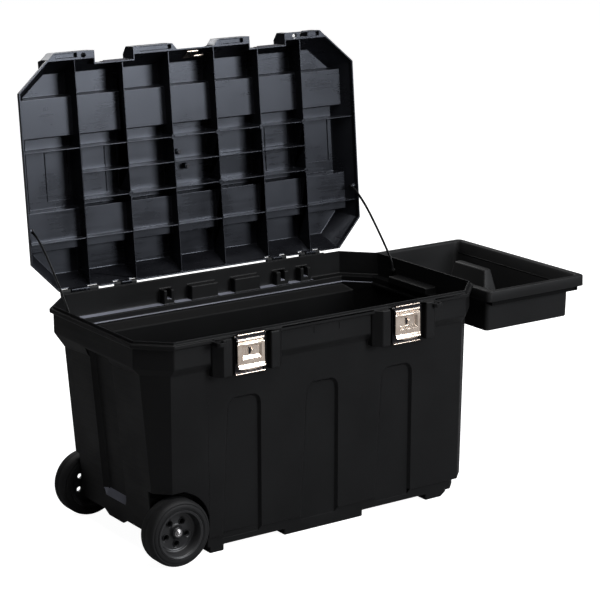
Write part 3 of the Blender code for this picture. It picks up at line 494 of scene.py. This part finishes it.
def make_cap_nut(tag, y, steel):
    """A cap nut with a thin flange and a fluted stem."""
    def flutes(a, r):
        return 1.0 + (0.10 * cos(6 * a) if 0.002 < r < 0.0072 else 0.0)
    cap = [(0.0157, 0.0094), (0.0134, 0.0096), (0.0126, 0.0092), (0.0120, 0.0084), (0.0122, 0.0076),
           (0.0112, 0.0070), (0.0100, 0.0060), (0.0092, 0.0048), (0.0092, 0.0038), (0.0102, 0.0032),
           (0.0102, 0.0022), (0.0093, 0.0015), (0.0090, 0.0004), (0.0157, 0.0004)]
    nut = lathe("cap_nut_%s_fine" % tag, [(y(d), r) for d, r in cap], AXLE_X, AXLE_Z, 60, flutes, sharp=60)
    put(nut, steel, "cap_nut_" + tag)


def make_wheel(s, tag, rubber, hub_black, steel):
    """A whole wheel; s is -1 for the front one and 1 for the back one."""
    outer_face = AXLE_Y + s * WHEEL_OUT

    def y(depth):
        return outer_face - s * depth
    make_tyre(tag, y, rubber)
    make_hub(tag, y, hub_black)
    make_cap_nut(tag, y, steel)


# ---------------------------------------------------------------- latches
LATCH_X = 0.2175
PIVOT, HOOK_PIVOT = (-0.2700, 0.5165), (-0.2740, 0.5075)       # (y, z)
EYE_R = 0.0029
LEVER_HALF, LEVER_TOP, LEVER_LIP, LEVER_Y = 0.0365, 0.5048, 0.4402, -0.2737
LOCK_FACE, LOCK_BACK = -0.2728, -0.2690


def ramp(t):
    return max(0.0, min(1.0, t))


def ease(t):
    t = ramp(t)
    return t * t * (3 - 2 * t)


def lever_face(u, v):
    """(x, y, z) of the pressed lever; u runs across from -1 to 1, v from the top, 0, to the curved lip, 1."""
    lip = LEVER_LIP + 0.0050 * u * u
    z = LEVER_TOP + (lip - LEVER_TOP) * v
    below_top = LEVER_TOP - z
    y = LEVER_Y - 0.0036 * ramp(below_top / 0.0058) - 0.0004 * ramp((0.490 - z) / 0.03)
    y -= 0.0042 * ease((0.4535 - z) / 0.0100) + 0.0008 * (1 - u * u) * ramp(below_top / 0.02)
    # the sunken square, wider at the face than at its floor
    across = (0.0256 - abs(LEVER_HALF * u - 0.0016)) / 0.0036
    sink = min(ramp(across), ramp((0.4950 - z) / 0.0030), ramp((z - 0.4640) / 0.0074))
    y += 0.0056 * sink
    # the side edges turn back a little
    edge = ease((abs(u) - 0.95) / 0.05)
    return LEVER_HALF * u, y + 0.0016 * edge, z


def make_lever(xc, tag, nickel, dark):
    """The pressed sheet, its two arms to the pivot and its rolled top edge."""
    columns, rows = 90, 96
    verts = []
    for j in range(rows + 1):
        for i in range(columns + 1):
            x, y, z = lever_face(-1 + 2 * i / columns, j / rows)
            verts.append((xc + x, y, z))
    step = columns + 1
    faces = [(j * step + i, j * step + i + 1, (j + 1) * step + i + 1, (j + 1) * step + i)
             for j in range(rows) for i in range(columns)]
    sheet = shape("latch_lever_%s_pressed" % tag, verts, faces, sharp=24)
    if sum(p.normal.y for p in sheet.data.polygons) > 0:
        sheet.data.flip_normals()
    thick = sheet.modifiers.new("sheet", "SOLIDIFY")
    thick.thickness, thick.offset = 0.0010, -1.0
    put(sheet, nickel, "latch_lever_" + tag)
    for e, side in ((-1, "a"), (1, "b")):
        outline = [(-0.2745, 0.4760), (-0.2752, 0.4885), (-0.2766, 0.5070), (-0.2752, 0.5120)]
        outline += arc(PIVOT[0], PIVOT[1], EYE_R, 135, 0, 6) + [(-0.2690, 0.5105), (-0.2712, 0.4760)]
        x = xc + e * 0.0350
        arm = prism("latch_lever_%s_arm_%s" % (tag, side), outline, "X", x - 0.0012, x + 0.0012, bevel=0.0004)
        put(arm, dark, body="latch_lever_" + tag, slot="nickel")
    roll = prism("latch_lever_%s_roll" % tag, circle(-0.2738, 0.5047, 0.0012), "X", xc - 0.0362, xc + 0.0362,
                 bevel=0.0003)
    put(roll, nickel, body="latch_lever_" + tag, slot="nickel")


def make_lock(xc, tag, nickel, dark):
    """The key lock: a collar, a dark plug that stands in for the shadow inside the keyhole slot (painted
    shade), and a bright round pin beside it.
    """
    face, back = LOCK_FACE, LOCK_BACK
    lx, lz = xc - 0.002, 0.4830
    ring = [(back, 0.0064), (face, 0.0064), (face - 0.0006, 0.0068), (face - 0.0006, 0.0080), (face, 0.0084),
            (back, 0.0084)]
    collar = lathe("latch_lock_%s_collar" % tag, ring, lx + 0.0030, lz - 0.0022, 48, sharp=50)
    put(collar, nickel, "latch_lock_" + tag)
    outline = [(lx - 0.0030, lz - 0.0090), (lx + 0.0026, lz - 0.0078), (lx + 0.0026, lz + 0.0064),
               (lx - 0.0030, lz + 0.0078)]
    # painted shade: the dark plug takes the place of the shadow inside the keyhole slot
    plug = prism("latch_lock_%s_slot" % tag, outline, "Y", face - 0.0012, back, bevel=0.0005)
    put(plug, dark, body="latch_lock_" + tag, slot="nickel")
    profile = [(back, 0.0003), (back, 0.0040), (face - 0.0016, 0.0040), (face - 0.0026, 0.0034),
               (face - 0.0030, 0.0020), (face - 0.0026, 0.0012), (face - 0.0026, 0.0003)]
    pin = lathe("latch_lock_%s_pin" % tag, profile, lx + 0.0066, lz - 0.0016, 40, sharp=60)
    put(pin, nickel, body="latch_lock_" + tag, slot="nickel")


def make_hook(xc, tag, nickel, dark):
    """The draw hook: a rolled eye, a bowed plate, and a rolled top that reaches over the keeper."""
    section = arc(HOOK_PIVOT[0], HOOK_PIVOT[1], EYE_R, 100, -200, 20)
    section += [(-0.2758, 0.5115), (-0.2754, 0.5150), (-0.2754, 0.5186)]
    section += arc(-0.2746, 0.5206, 0.0016, 230, 80, 10)
    section += [(-0.2690, 0.5246), (-0.2672, 0.5250), (-0.2671, 0.5238), (-0.2690, 0.5230), (-0.2722, 0.5218),
                (-0.2740, 0.5195), (-0.2742, 0.5150), (-0.2740, 0.5120)]
    hook = prism("latch_hook_%s_rolled" % tag, section, "X", xc - 0.0345, xc + 0.0345, sharp=50, bevel=0.0003)
    put(hook, nickel, "latch_hook_" + tag)
    # painted shade: the plate between the two rolls, and whatever lies further back, takes the dark material
    hook.data.materials.append(dark)
    for p in hook.data.polygons:
        if abs(p.normal.x) < 0.5 and (p.center.y > -0.2735 or 0.5108 < p.center.z < 0.5191):
            p.material_index = 1


def make_base(xc, tag, nickel, dark):
    """The base plate with a curled foot and two thin turned-up sides that carry the pivot."""
    plate = box("latch_base_%s_plate" % tag, xc - 0.0388, xc + 0.0388, -0.2668, -0.2654, 0.4295, 0.5195,
                bevel=0.0005)
    put(plate, dark, "latch_base_" + tag)
    curl = [(-0.2668, 0.4290), (-0.2712, 0.4290)] + arc(-0.2728, 0.4305, 0.0015, 270, 90, 8)
    curl += [(-0.2712, 0.4314), (-0.2668, 0.4314)]
    foot = prism("latch_base_%s_foot" % tag, curl, "X", xc - 0.0392, xc + 0.0392, sharp=50, bevel=0.0004)
    put(foot, nickel, body="chest", slot="nickel")
    for e, side in ((-1, "a"), (1, "b")):
        x = xc + e * 0.0386
        outline = [(-0.2660, 0.4295), (-0.2706, 0.4295), (-0.2694, 0.4420), (-0.2690, 0.5080),
                   (-0.2725, 0.5125)]
        outline += arc(PIVOT[0], PIVOT[1], EYE_R, 160, 60, 6) + [(-0.2660, 0.5192)]
        wall = prism("latch_base_%s_side_%s" % (tag, side), outline, "X", x - 0.0008, x + 0.0008,
                     bevel=0.0003)
        put(wall, dark, body="chest", slot="nickel")


def make_pins(xc, tag, nickel, steel):
    """The pivot and hook pins, the pivot's heads, and a small stud on the rim at each side of the latch."""
    for node, at, r, half in (("latch_pivot_", PIVOT, 0.0018, 0.0402),
                              ("latch_hook_pin_", HOOK_PIVOT, 0.0016, 0.0372)):
        rod = prism(node + tag + "_headed", circle(at[0], at[1], r), "X", xc - half, xc + half, sharp=50,
                    bevel=0.0004)
        put(rod, steel, node + tag)
    dome = [(0.5150, 0.0002), (0.5150, 0.0025), (0.5166, 0.0024), (0.5174, 0.0017), (0.5177, 0.0002)]
    for e, side in ((-1, "a"), (1, "b")):
        x = xc + e * 0.0404
        head = prism("latch_pivot_%s_head_%s" % (tag, side), circle(PIVOT[0], PIVOT[1], 0.0018), "X",
                     x - 0.0004, x + 0.0004, sharp=50, bevel=0.0004)
        put(head, nickel, body="chest", slot="steel")
        stud = upright("latch_stud_%s_%s" % (tag, side), dome, xc + e * 0.0425, -0.2612)
        put(stud, nickel, body="chest", slot="steel")


def make_latch(s, tag, nickel, steel, dark):
    """A whole draw latch; s is -1 for the left one and 1 for the right one."""
    xc = s * LATCH_X
    make_base(xc, tag, nickel, dark)
    make_lever(xc, tag, nickel, dark)
    make_lock(xc, tag, nickel, dark)
    make_hook(xc, tag, nickel, dark)
    make_pins(xc, tag, nickel, steel)


# ---------------------------------------------------------------- tray
TRAY_X0, TRAY_X1, TRAY_Y = 0.490, 0.790, 0.250
TRAY_LOW = 0.3975                              # underside
IN_FRONT, IN_END = 0.0210, 0.0110              # how much further in the walls stand under the skirt
TRAY_LAP = 0.0080                              # how far the skirt reaches over towards the chest


def tray_ring(k, z, r, front=0.0, right=0.0, left=0.0):
    """A level ring k inside the tray's outline, further in at the front and right, and out at the left."""
    return rounded(TRAY_X0 + k - left, TRAY_X1 - k - right, -TRAY_Y + k + front, TRAY_Y - k, r, z)


def make_tray_shell(material):
    """Floor, rounded walls and a rolled flange: from the underside up, over the rim and down inside."""
    low = TRAY_LOW
    outside = [(0.0200, low, 0.008), (0.0164, low + 0.0006, 0.009), (0.0148, low + 0.0024, 0.010),
               (0.0142, low + 0.0060, 0.011), (0.0130, 0.4660, 0.011), (0.0128, 0.4690, 0.011)]
    skirt = [(0.0030, 0.5035, 0.012), (0.0026, 0.5030, 0.012), (0.0022, 0.4808, 0.012),
             (0.0018, 0.4805, 0.012), (0.0004, 0.4805, 0.013), (0.0000, 0.4810, 0.013),
             (0.0004, 0.5045, 0.013), (0.0010, 0.5062, 0.013), (0.0022, 0.5070, 0.013)]
    inside = [(0.0158, 0.4700, 0.012), (0.0170, low + 0.0120, 0.012), (0.0188, low + 0.0060, 0.013),
              (0.0220, low + 0.0032, 0.013), (0.0260, low + 0.0028, 0.012)]
    rings = [tray_ring(k, z, r, IN_FRONT, IN_END) for k, z, r in outside]
    rings += [tray_ring(0.0124, 0.4800, 0.013, 0.0160, 0.0090), tray_ring(0.0118, 0.5030, 0.016),
              tray_ring(0.0110, 0.5035, 0.016)]
    rings += [tray_ring(k, z, r, left=TRAY_LAP) for k, z, r in skirt]
    rings += [tray_ring(0.0118, 0.5070, 0.016), tray_ring(0.0134, 0.5064, 0.016),
              tray_ring(0.0146, 0.5048, 0.015), tray_ring(0.0150, 0.5000, 0.014, 0.0020, 0.0010)]
    rings += [tray_ring(k, z, r, IN_FRONT, IN_END) for k, z, r in inside]
    put(loft("tray_moulded", rings, sharp=44), material, "tray")


def make_tray_grip(material):
    """The raised finger grip on the tray's floor, between the two wells."""
    middle_x, middle_y = 0.5 * (TRAY_X0 + TRAY_X1) + 0.001, 0.010

    def level(wx, wy, r, z):
        return rounded(middle_x - wx, middle_x + wx, middle_y - wy, middle_y + wy, r, z, 6)
    hump = [level(0.0330, 0.0880, 0.006, TRAY_LOW + 0.0026), level(0.0305, 0.0855, 0.006, TRAY_LOW + 0.0034),
            level(0.0290, 0.0840, 0.006, TRAY_LOW + 0.0060), level(0.0115, 0.0615, 0.005, 0.4975),
            level(0.0104, 0.0604, 0.005, 0.5008), level(0.0080, 0.0580, 0.004, 0.5020)]
    put(loft("tray_grip", hump, sharp=70), material, body="tray", slot="tray_plastic")


def make_tray(material, painted_shade):
    make_tray_shell(material)
    make_tray_grip(material)
    # the stacking rib under the skirt, at the front and at the end, in the painted-shade plastic so that it
    # reads as the shadow under the skirt
    for name, x0, x1, y0, y1 in (
            ("front", TRAY_X0 + 0.0115, TRAY_X1 - 0.0130, -TRAY_Y + 0.0115, -TRAY_Y + 0.0350),
            ("end", TRAY_X1 - 0.0250, TRAY_X1 - 0.0130, -TRAY_Y + 0.0115, TRAY_Y - 0.0140)):
        rib = box("tray_painted_shade_rib_" + name, x0, x1, y0, y1, 0.4672, 0.4790, bevel=0.0020)
        put(rib, painted_shade, body="tray", slot="tray_plastic")
    rest = box("tray_rest", 0.4785, 0.5044, -0.055, 0.055, 0.4625, 0.4800, bevel=0.0020)
    put(rest, material, body="tray", slot="tray_plastic")


# ---------------------------------------------------------------- stays, handle
HINGE = (0.2715, 0.5283)                       # (y, z)
LID_OPEN = radians(94.9)
STAY_X = 0.4612
STAY_LOW, STAY_TOP = (0.110, 0.492), (0.1171, 0.5350)          # (y, z) of the eyelets with the lid shut


def stay_path():
    """Centre line (y, z) of a stay, from the lid's eyelet down to the chest's."""
    t, h = HINGE[0] - STAY_TOP[0], STAY_TOP[1] - HINGE[1]
    c, s = cos(LID_OPEN), sin(LID_OPEN)
    top = (HINGE[0] - c * t + s * h, HINGE[1] + s * t + c * h)
    way = [top, (0.262, 0.668), (0.222, 0.637), (0.176, 0.590), (0.132, 0.540), (0.113, 0.512), STAY_LOW]
    pts, steps = [], 8
    for i in range(len(way) - 1):
        p0, p1, p2, p3 = way[max(i - 1, 0)], way[i], way[i + 1], way[min(i + 2, len(way) - 1)]
        for k in range(steps):
            u = k / steps
            pts.append(tuple(0.5 * (2 * p1[j] + (p2[j] - p0[j]) * u
                                    + (2 * p0[j] - 5 * p1[j] + 4 * p2[j] - p3[j]) * u * u
                                    + (3 * p1[j] - p0[j] - 3 * p2[j] + p3[j]) * u ** 3) for j in (0, 1)))
    return pts + [way[-1]]


def make_stays(strap):
    """Two flat flexible straps, a little wider at their ends."""
    path = stay_path()
    for s, tag in ((-1, "left"), (1, "right")):
        x = s * STAY_X
        rings = []
        for i, (py, pz) in enumerate(path):
            a, b = path[max(i - 1, 0)], path[min(i + 1, len(path) - 1)]
            dy, dz = b[0] - a[0], b[1] - a[1]
            length = hypot(dy, dz)
            dy, dz = dy / length, dz / length
            half = 0.0043 if 2 < i < len(path) - 3 else 0.0055
            rings.append([(x + 0.0016 * cos(t), py - dz * half * sin(t), pz + dy * half * sin(t))
                          for t in [2 * pi * k / 14 for k in range(14)]])
        stay = loft("lid_stay_%s_flexible" % tag, rings, sharp=60)
        stay.data.materials.append(strap)
        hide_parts("lid_stay_" + tag)
        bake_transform(stay)


def make_grip(rubber):
    """Ridged sleeve on the pull handle."""
    px, pz = 0.4665, 0.227
    ridges, sleeve = 17, 0.130
    profile = [(-0.0700, 0.0088), (-0.0700, 0.0112), (-0.0692, 0.0120)]
    for k in range(ridges):
        y = -0.0650 + sleeve * k / ridges
        profile += [(y, 0.0130), (y + 0.0040, 0.0130), (y + 0.0048, 0.0122), (y + 0.0068, 0.0122)]
    profile += [(0.0650, 0.0130), (0.0692, 0.0120), (0.0700, 0.0112), (0.0700, 0.0088)]
    put(lathe("handle_grip_ridged", profile, px, pz, 48, sharp=40), rubber, "handle_grip")


# ---------------------------------------------------------------- small mouldings
def opened(obj):
    """Places a piece drawn on the closed lid where the open lid carries it."""
    pivot = Vector((0, HINGE[0], HINGE[1]))
    turn = Matrix.Translation(pivot) @ Matrix.Rotation(-LID_OPEN, 4, "X") @ Matrix.Translation(-pivot)
    obj.matrix_world = turn @ obj.matrix_world
    return obj


def make_lid_lines(material):
    """Thin raised frames inside the lid where other fittings could be screwed on."""
    wide = 0.0016
    frames = ((-0.390, -0.330, -0.056, 0.061), (0.352, 0.428, -0.060, 0.050),
              (-0.292, -0.227, -0.058, 0.055), (0.233, 0.305, -0.058, 0.055))
    for k, (x0, x1, y0, y1) in enumerate(frames):
        sides = ((x0, x0 + wide, y0, y1), (x1 - wide, x1, y0, y1),
                 (x0, x1, y0, y0 + wide), (x0, x1, y1 - wide, y1))
        for i, (a, b, c, d) in enumerate(sides):
            line = box("lid_frame_%d_%d" % (k + 1, i + 1), a, b, c, d, 0.5795, 0.5823, bevel=0.0004)
            put(opened(line), material, body="lid", slot="lid_plastic")


def make_well_plate(material):
    """Black plate that closes the wheel well behind the front wheel."""
    plate = box("well_plate_front", -0.430, -0.330, -0.1815, -0.1785, 0.022, 0.070, bevel=0.001)
    put(plate, material, body="chest", slot="black_plastic")


def make_painted_highlight_strip(material):
    # painted highlight: a thin sheet of light bluish-grey plastic on the back ledge, where the ledge catches
    # the light
    strip = box("ledge_painted_highlight_strip", -0.392, 0.300, 0.2302, 0.2518, 0.46715, 0.46755)
    put(strip, material, body="chest", slot="black_plastic")


# ---------------------------------------------------------------- assembly
PLAIN, PAINTED_HIGHLIGHT, PAINTED_SHADE = 0, 1, 2                    # places in the tub's list of materials


def tub_painted_light(f):
    """Painted highlight on the back ledge and the sill of the end recess, painted shade on faces inside at
    the back, plain elsewhere.
    """
    c, n = f.calc_center_median(), f.normal
    back_ledge = n.z > 0.99 and c.y > 0.20 and 0.440 < c.z < 0.480
    end_sill = n.z > 0.25 and c.x < -0.41 and 0.09 < c.z < 0.125
    # painted highlight: the upward faces of the back ledge and the end sill get a light bluish-grey, as if
    # catching light
    if back_ledge or end_sill:
        return PAINTED_HIGHLIGHT
    inside = abs(c.x) < 0.45 and 0.05 < c.y < 0.225 and 0.021 < c.z < 0.470
    # painted shade: faces inside the chest at the back that face up or forward get the darker plastic, as if
    # in shadow
    return PAINTED_SHADE if inside and (n.z > 0.1 or n.y < -0.5) else PLAIN


def finish_nodes(black, nickel, steel, dark):
    """Materials of the CAD nodes that stay in sight."""
    for name, node in NODES.items():
        if node.hide_render:
            continue
        if name.startswith(("lid_hasp", "latch_lock")):
            material = nickel
        elif name.startswith(("hinge_pin", "axle")) and "spacer" not in name:
            material = steel
        elif "rivet" in name or "screw" in name or "keeper" in name or "handle_pivot" in name:
            material = dark
        else:
            material = black
        node.data.materials.clear()
        node.data.materials.append(material)


def main():
    make_camera()
    make_studio()
    black = plastic("black_plastic", (0.0034, 0.0034, 0.0036), 0.50, 0.19)
    # painted highlight: light bluish-grey plastic for surfaces that catch the light
    painted_highlight = plastic("painted_highlight_ledge", (0.150, 0.156, 0.188), 0.34, 0.55)
    # painted shade: a darker copy of the black plastic for faces in shadow inside the chest and under the
    # tray's skirt
    painted_shade = plastic("painted_shade_plastic", (0.0018, 0.0018, 0.0019), 0.56, 0.09)
    lid_black = plastic("lid_plastic", (0.0035, 0.0036, 0.0046), 0.30, 0.62, grain=700, depth=0.00003,
                        spread=0.11, tint=(0.82, 0.87, 1.0))
    tray_black = plastic("tray_plastic", (0.0062, 0.0062, 0.0064), 0.52, 0.22)
    rubber = plastic("rubber", (0.0088, 0.0088, 0.0092), 0.66, 0.22)
    hub_black = plastic("hub_plastic", (0.019, 0.019, 0.020), 0.40, 0.50)
    strap = plastic("strap", (0.010, 0.010, 0.011), 0.45, 0.40)
    nickel = metal("nickel", (0.98, 0.82, 0.70), 0.22)
    steel = metal("steel", (0.50, 0.50, 0.51), 0.30)
    dark = metal("dark_steel_and_painted_shade", (0.045, 0.045, 0.050), 0.35)
    softened("chest_body", 0.0030, [black, painted_highlight, painted_shade], 3, tub_painted_light)
    softened("lid", 0.0012, lid_black)
    make_painted_highlight_strip(painted_highlight)
    make_tray(tray_black, painted_shade)
    for s, tag in ((-1, "front"), (1, "back")):
        make_wheel(s, tag, rubber, hub_black, steel)
    for s, tag in ((-1, "left"), (1, "right")):
        make_latch(s, tag, nickel, steel, dark)
    make_stays(strap)
    make_lid_lines(lid_black)
    make_well_plate(black)
    make_grip(rubber)
    finish_nodes(black, nickel, steel, dark)


main()
